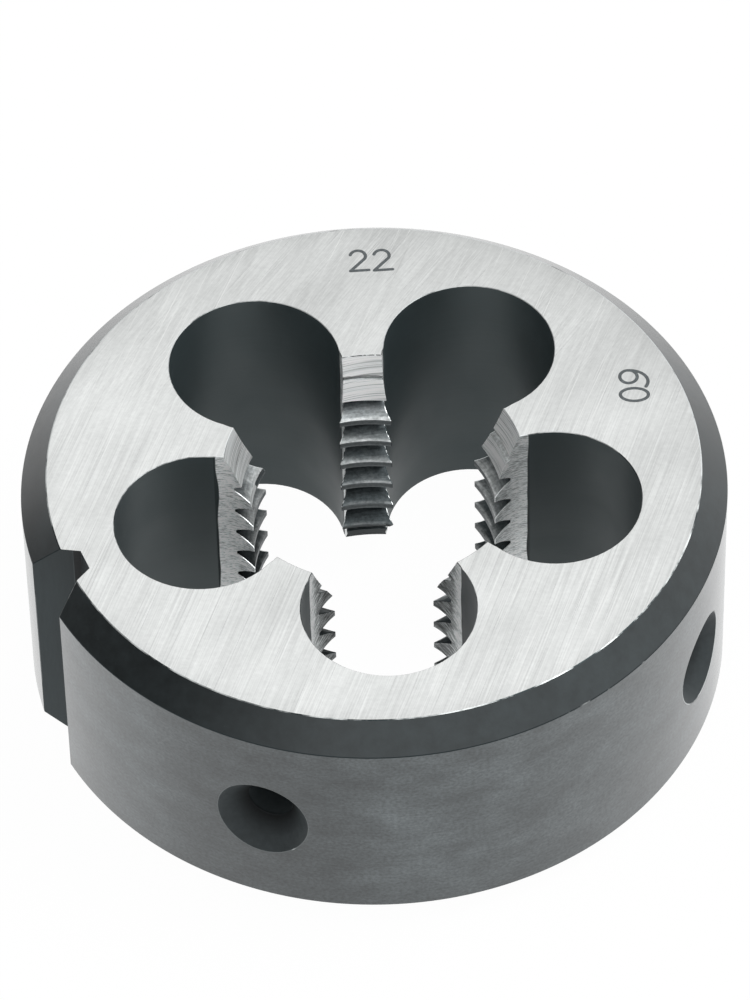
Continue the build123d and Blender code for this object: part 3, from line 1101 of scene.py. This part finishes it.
def cut_thread_steel(add, place, colours):
    """Tool steel, tapped and hardened: dark in the grooves, dull on the teeth's flat tops, and
    bright on the lip above them, partly where a rod rubs and partly a painted highlight. Painted
    light and shade make it brighter towards the upper end and darker lower down, on the left and
    at the back, where the grooves are painted lighter."""
    uv = add("UVMap", uv_map=UV_NAME)
    radius = axis_distance(add, place)
    x, y, z = (add("SeparateXYZ", place, out=axis) for axis in "XYZ")
    height = height_on_tooth(add, place)
    from_middle = add("Math", height, operation="ABSOLUTE")
    _, half_crest = tooth_section(in_mm(bpy.context.scene.die_sizes))
    top = half_crest * MM
    # The bright part reaches out to 9.75 mm from the axis low on a land, and to 10.95 mm high up:
    #     painted light, brighter where more light reaches the upper teeth. In the first groove it
    #     reaches down to the bottom.
    patches = lines(add, place, 0.005, 0.0013, seed=6.0, detail=3.0)
    reach = raised(
        add,
        add("MapRange", z, 0.008, 0.018, 0.00975, 0.01095),
        ((z, 0.0180, 0.0190, 0.0, 0.0015),),
        ((patches, 0.3, 0.7, -0.0004, 0.0004),),
    )
    bare = add("MapRange", add("Math", reach, radius, operation="SUBTRACT"), -0.0002, 0.0010)
    bare = add("Math", bare, 2.0, operation="POWER")
    # Painted shade: the grooves are darker low in the bore and lighter at the back, and the bright
    # part is darker at the back.
    dark, pale = (shade(value, colours.thread_root) for value in (0.95, 1.4))
    root = painted(add, dark, pale, (z, 0.003, 0.016))
    root = tinted(add, root, (y, 0.004, 0.007, 1.0, 1.35))
    toned = painted(add, root, colours.thread, (bare,), (y, 0.004, 0.007, 1.0, 0.64))
    toned = painted(add, toned, colours.black_oxide, (from_middle, 0.00112, 0.00120, 0.0, 0.35))
    # The lip is a line about 0.1 mm wide, just above a tooth's top: partly a painted highlight,
    #     fainter lower down, on the left and at the back.
    toned = painted(
        add,
        toned,
        colours.lead_cone,
        (height, top - 0.00001, top + 0.00001),
        (height, top + 0.00013, top + 0.00005),
        (lines(add, place, 0.0012, 0.0012, seed=9.0), 0.42, 0.58, 0.2, 1.0),
        (z, 0.004, 0.017, 0.25, 0.95),
        (x, -0.0025, 0.0, 0.55, 1.0),
        (y, 0.004, 0.007, 1.0, 0.6),
    )
    # A tooth's top is pale, with a dark stripe of painted shade along its upper part, except on the
    #     left-hand land.
    on_top = add("MapRange", from_middle, top + 0.00001, top - 0.00001)
    flat = painted(
        add,
        shade(1.4, colours.ground_rim),
        colours.thread_root,
        (height, top - 0.00006, top - 0.00014),
        (height, -0.00016, -0.00008),
        (x, -0.006, -0.004),
    )
    toned = painted(add, toned, flat, (on_top,))
    marks = lines(add, uv, 2.2, 0.09)
    # Painted shade: the left-hand land's flanks are darker, most low down, and less so just below
    # the upper face.
    left = product(add, (x, -0.003, -0.007), (on_top, 1.0, 0.0))
    toned = tinted(
        add,
        toned,
        (marks, 0.32, 0.68, 0.72, 1.18),
        (lines(add, place, 0.00030, 0.00022, seed=5.0, detail=3.0), 0.35, 0.65, 0.72, 1.22),
        (left, 0.0, 1.0, 1.0, 0.50),
        (product(add, (left,), (z, 0.017, 0.009)), 0.0, 1.0, 1.0, 0.65),
        (product(add, (left,), (z, 0.016, 0.0175)), 0.0, 1.0, 1.0, 1.5),
        (x, -0.0025, -0.0005, 0.8, 1.0),
    )
    metallic = {"Metallic": add("MapRange", on_top, 0.0, 1.0, 1.0, 0.4)}
    finish_material(add, toned, (marks, 0.3, 0.7, 0.34, 0.48), metallic, marks, 0.000005)


def bare_edge_steel(add, place, colours):
    """Tool steel on a broken edge, where handling has thinned the coat: bare and bright in parts
    round the upper face, the seats and the slot, and only in specks round the rim. On the teeth
    it is ragged, and bare at the back and at the sides, mostly where it looks up."""
    radius = axis_distance(add, place)
    x, y, z = (add("SeparateXYZ", place, out=axis) for axis in "XYZ")
    half = bpy.context.scene.die_sizes.thickness / 2
    from_half = add("Math", add("Math", z, half, operation="SUBTRACT"), operation="ABSOLUTE")
    along_slot, across_slot = (
        add("VectorMath", place, direction(SLOT_AZIMUTH + turn), operation="DOT_PRODUCT")
        for turn in (0, pi / 2)
    )
    teeth = add("MapRange", radius, 0.0125, 0.0122)
    off_middle = add("Math", x, operation="ABSOLUTE")
    looks_up = add("MapRange", height_on_tooth(add, place), 0.0, 0.0002)
    coarse = lines(add, place, 0.003, 0.003, seed=3.0, detail=5.0)
    fine = lines(add, place, 0.0004, 0.0004, seed=11.0, detail=3.0)
    on_face, on_rim = (radius, 0.0262, 0.0256), (radius, 0.0260, 0.0262)
    wear = raised(
        add,
        add("Mix", teeth, coarse, fine),
        ((*on_face, 0.0, 0.11),),
        ((y, -0.002, 0.006, 0.0, 0.12), on_face),
        ((teeth, 0.0, 1.0, 0.0, 0.12),),
        ((teeth,), (y, -0.001, -0.003, 0.0, -0.6)),
        ((teeth,), (y, 0.004, 0.007, 0.0, -0.26)),
        ((teeth,), (looks_up, 1.0, 0.0, 0.0, -0.12)),
        ((teeth,), (off_middle, 0.003, 0.006, 0.0, 0.10)),
        ((from_half, 0.0055, 0.0050, 0.0, 0.06), on_rim),
        ((from_half, 0.0055, 0.0050, 0.0, 0.22), (x, 0.0, 0.005), on_rim),
        (
            (across_slot, 0.0015, 0.0017, 0.0, 0.10),
            (across_slot, 0.0036, 0.0034),
            (along_slot, 0.0258, 0.0262),
        ),
        (
            (across_slot, -0.001, -0.0015, 0.0, -0.14),
            (across_slot, -0.004, -0.0036),
            (along_slot, 0.024, 0.0245),
        ),
        ((radius, 0.0262, 0.0268, 0.0, -0.05),),
    )
    # The rings round the seats are worn a little all the way.
    ring = product(add, (from_half, 0.0055, 0.0050, 0.0, 0.2), on_rim)
    worn = add("Math", add("MapRange", wear, 0.56, 0.70), ring, operation="MAXIMUM")
    bare = painted(add, colours.thread, colours.cutting_face, (teeth,))
    toned = painted(add, colours.black_oxide, bare, (worn,))
    finish_material(add, toned, (wear, 0.3, 0.7, 0.4, 0.5), METAL)


def laser_marked_steel(add, place, colours):
    """Tool steel burnt dark by a marking laser: dull grey, with tiny spots of bare metal."""
    spots = lines(add, place, 0.00022, 0.00022, detail=3.0)
    bare = shade(3.0, colours.marking)
    toned = painted(add, colours.marking, bare, (spots, 0.5, 0.72, 0.0, 0.4))
    finish_material(add, toned, (spots, 0.3, 0.7, 0.5, 0.65), {"Metallic": 0.3})


# The body's finishes, in the order of their numbers in the surface's cells
BODY_FINISHES = (
    ground_tool_steel,
    black_oxide_steel,
    dull_oxide_steel,
    drilled_oxide_steel,
    ground_rim_steel,
    cutting_face_steel,
    lead_cone_steel,
    cut_thread_steel,
    bare_edge_steel,
    milled_oxide_steel,
)


def put_into_scene(name, data):
    """A new object of this name, at the origin, for a mesh, a lamp or a camera."""
    thing = bpy.data.objects.new(name, data)
    bpy.context.scene.collection.objects.link(thing)
    return thing


def place_piece(name, mesh):
    """Puts a mesh into the scene as a piece of the die, once its faces have been found sound."""
    if mesh.validate(verbose=False):
        raise RuntimeError(f"{name} has faulty faces")
    piece = put_into_scene(name, mesh)
    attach(piece, "root")
    return piece


# Edges that turn by more than this stay sharp.
SHARP_ANGLE = radians(15)


class DIE_OT_body(bpy.types.Operator):
    """Build the die's body"""

    bl_idname = "die.body"
    bl_label = "Die Body"

    def execute(self, context):
        mesh = build_die(in_mm(context.scene.die_sizes))
        for finish in BODY_FINISHES:
            mesh.materials.append(new_steel(finish, context.scene.die_colours))
        mesh.shade_smooth()
        mesh.set_sharp_from_angle(angle=SHARP_ANGLE)
        piece = place_piece("die_body", mesh)
        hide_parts(NODE)
        return {"FINISHED"}


# Plain numbers: the thread's diameter, and the angle of its flanks. Each has the middle of its
# first digit on the upper face, and the direction of its line.
NUMBERS = (("22", -0.75, 21.95, radians(0.6)), ("60", 20.57, 8.78, radians(-91.0)))


class DIE_OT_numbers(bpy.types.Operator):
    """Build the numbers on the upper face"""

    bl_idname = "die.numbers"
    bl_label = "Numbers"

    def execute(self, context):
        mesh = build_numbers(in_mm(context.scene.die_sizes), NUMBERS)
        mesh.materials.append(new_steel(laser_marked_steel, context.scene.die_colours))
        place_piece("die_numbers", mesh)
        return {"FINISHED"}


class DIE_OT_stage(bpy.types.Operator):
    """Build the floor, the lights and the camera"""

    bl_idname = "die.stage"
    bl_label = "Stage"

    def execute(self, context):
        scene = context.scene
        build_floor()
        light_scene(scene)
        place_camera(scene)
        scene.view_settings.view_transform = "Standard"
        return {"FINISHED"}


FLOOR_SIZE = 4.0
FLOOR_STEPS = 16
# How much of the floor the camera and the steel see as plain white, without its shadow
SEEN_WHITE = 0.98
MIRRORED_WHITE = 0.97
WHITE = linear("#ffffff")
# The world's strength as a light. In the steel it is 1, and dimmer round one direction: how dim,
# and the cosines of the angles where the dimmer part starts and where it is full
WORLD_LIGHT = 0.7
DIM_SIDE = Vector((-0.91, -0.07, 0.405))
DIM_STRENGTH = 0.17
DIM_START, DIM_FULL = 0.50, 0.95
LAMP_PLACE = Vector((0.59, 0.10, 1.04))
LAMP_SIZE = 0.6
LAMP_POWER = 7.0


def light_paths(add):
    """Whether a ray comes from the camera, has gone through glass, or comes off a gloss."""
    return [add("LightPath", out=f"Is {kind} Ray") for kind in ("Camera", "Transmission", "Glossy")]


def build_floor():
    """A flat square floor on a grid, plain white, which keeps the die's shadow."""
    steps = np.linspace(-FLOOR_SIZE / 2, FLOOR_SIZE / 2, FLOOR_STEPS + 1)
    x, y = np.meshgrid(steps, steps)
    points = np.stack([x, y, np.zeros_like(x)], axis=-1).reshape(-1, 3)
    index = np.arange(len(points)).reshape(x.shape)
    cells = np.stack([index[:-1, :-1], index[:-1, 1:], index[1:, 1:], index[1:, :-1]], axis=-1)
    mesh = bpy.data.meshes.new("floor")
    mesh.from_pydata(points, [], cells.reshape(-1, 4).tolist())
    material = bpy.data.materials.new("white_paper")
    add = empty_nodes(material)
    camera, through, glossy = light_paths(add)
    seen = add("Math", camera, through, operation="MAXIMUM")
    share = add("Math", seen, SEEN_WHITE, operation="MULTIPLY")
    share = add("Math", glossy, MIRRORED_WHITE, share, operation="MULTIPLY_ADD")
    paper, white = add("BsdfDiffuse", WHITE), add("Emission", WHITE, 1.0)
    add("OutputMaterial", add("MixShader", share, paper, white))
    mesh.materials.append(material)
    put_into_scene("floor", mesh)


def light_scene(scene):
    """A white world that the camera sees as it is, and the steel with a dimmer part at the left,
    as in a studio. As a light it is weaker. One large soft lamp hangs high at the right."""
    world = bpy.data.worlds.new("studio")
    scene.world = world
    add = empty_nodes(world)
    camera, through, glossy = light_paths(add)
    sky_place = add("TexCoord", out="Generated")
    nearness = add("VectorMath", sky_place, DIM_SIDE, operation="DOT_PRODUCT")
    mirrored = add("MapRange", nearness, DIM_START, DIM_FULL, 1.0, DIM_STRENGTH)
    strength = add("Mix", glossy, WORLD_LIGHT, mirrored)
    for kind in (camera, through):
        strength = add("Math", strength, kind, operation="MAXIMUM")
    add("OutputWorld", add("Background", WHITE, strength))
    lamp = bpy.data.lights.new("lamp", "AREA")
    lamp.shape = "DISK"
    lamp.size = LAMP_SIZE
    lamp.energy = LAMP_POWER
    holder = put_into_scene("lamp", lamp)
    holder.location = LAMP_PLACE
    holder.rotation_euler = (-LAMP_PLACE).to_track_quat("-Z", "Y").to_euler()


# The camera, solved from the photographed rims, chamfers and teeth. Its place is in millimetres,
# and it may see from 1 cm to 20 m.
CAMERA_ELEVATION = radians(48.740)
CAMERA_ROLL = radians(-1.3617)
CAMERA_DISTANCE = 550.592
CAMERA_AIM = Vector((0.0427, 6.1996, 11.0))
CAMERA_LENS = 249.65
CAMERA_SENSOR = 36.0
CAMERA_RANGE = (0.01, 20.0)


def place_camera(scene):
    """A long lens that looks down on the die from the front."""
    back = Vector((0, -cos(CAMERA_ELEVATION), sin(CAMERA_ELEVATION)))
    right = Vector((1, 0, 0))
    up = back.cross(right)
    side = right * cos(CAMERA_ROLL) + up * sin(CAMERA_ROLL)
    top = up * cos(CAMERA_ROLL) - right * sin(CAMERA_ROLL)
    lens = bpy.data.cameras.new("camera")
    lens.lens = CAMERA_LENS
    lens.sensor_width = CAMERA_SENSOR
    lens.sensor_height = CAMERA_SENSOR
    lens.sensor_fit = "AUTO"
    lens.clip_start, lens.clip_end = CAMERA_RANGE
    matrix = Matrix((side, top, back)).transposed().to_4x4()
    matrix.translation = (CAMERA_AIM + back * CAMERA_DISTANCE) * MM
    scene.camera = put_into_scene("camera", lens)
    scene.camera.matrix_world = matrix


class DIE_PT_panel(bpy.types.Panel):
    """The die's sizes, colours and builders"""

    bl_label = "Threading Die"
    bl_idname = "DIE_PT_panel"
    bl_space_type = "VIEW_3D"
    bl_region_type = "UI"
    bl_category = "Threading Die"

    def draw(self, context):
        for group in (context.scene.die_sizes, context.scene.die_colours):
            box = self.layout.box()
            for name in group.__annotations__:
                box.prop(group, name)
        for operator in OPERATORS:
            self.layout.operator(operator.bl_idname)


OPERATORS = (DIE_OT_body, DIE_OT_numbers, DIE_OT_stage)
CLASSES = (DieSizes, DieColours) + OPERATORS + (DIE_PT_panel,)


def register():
    """Registers the classes, and gives each scene its sizes and colours."""
    for cls in CLASSES:
        bpy.utils.register_class(cls)
    bpy.types.Scene.die_sizes = bpy.props.PointerProperty(type=DieSizes)
    bpy.types.Scene.die_colours = bpy.props.PointerProperty(type=DieColours)


def unregister():
    """Takes the sizes and colours away again, and the classes."""
    del bpy.types.Scene.die_colours
    del bpy.types.Scene.die_sizes
    for cls in reversed(CLASSES):
        bpy.utils.unregister_class(cls)


def main():
    """Builds the die and its stage."""
    register()
    bpy.ops.die.body()
    bpy.ops.die.numbers()
    bpy.ops.die.stage()


if __name__ == "__main__":
    main()
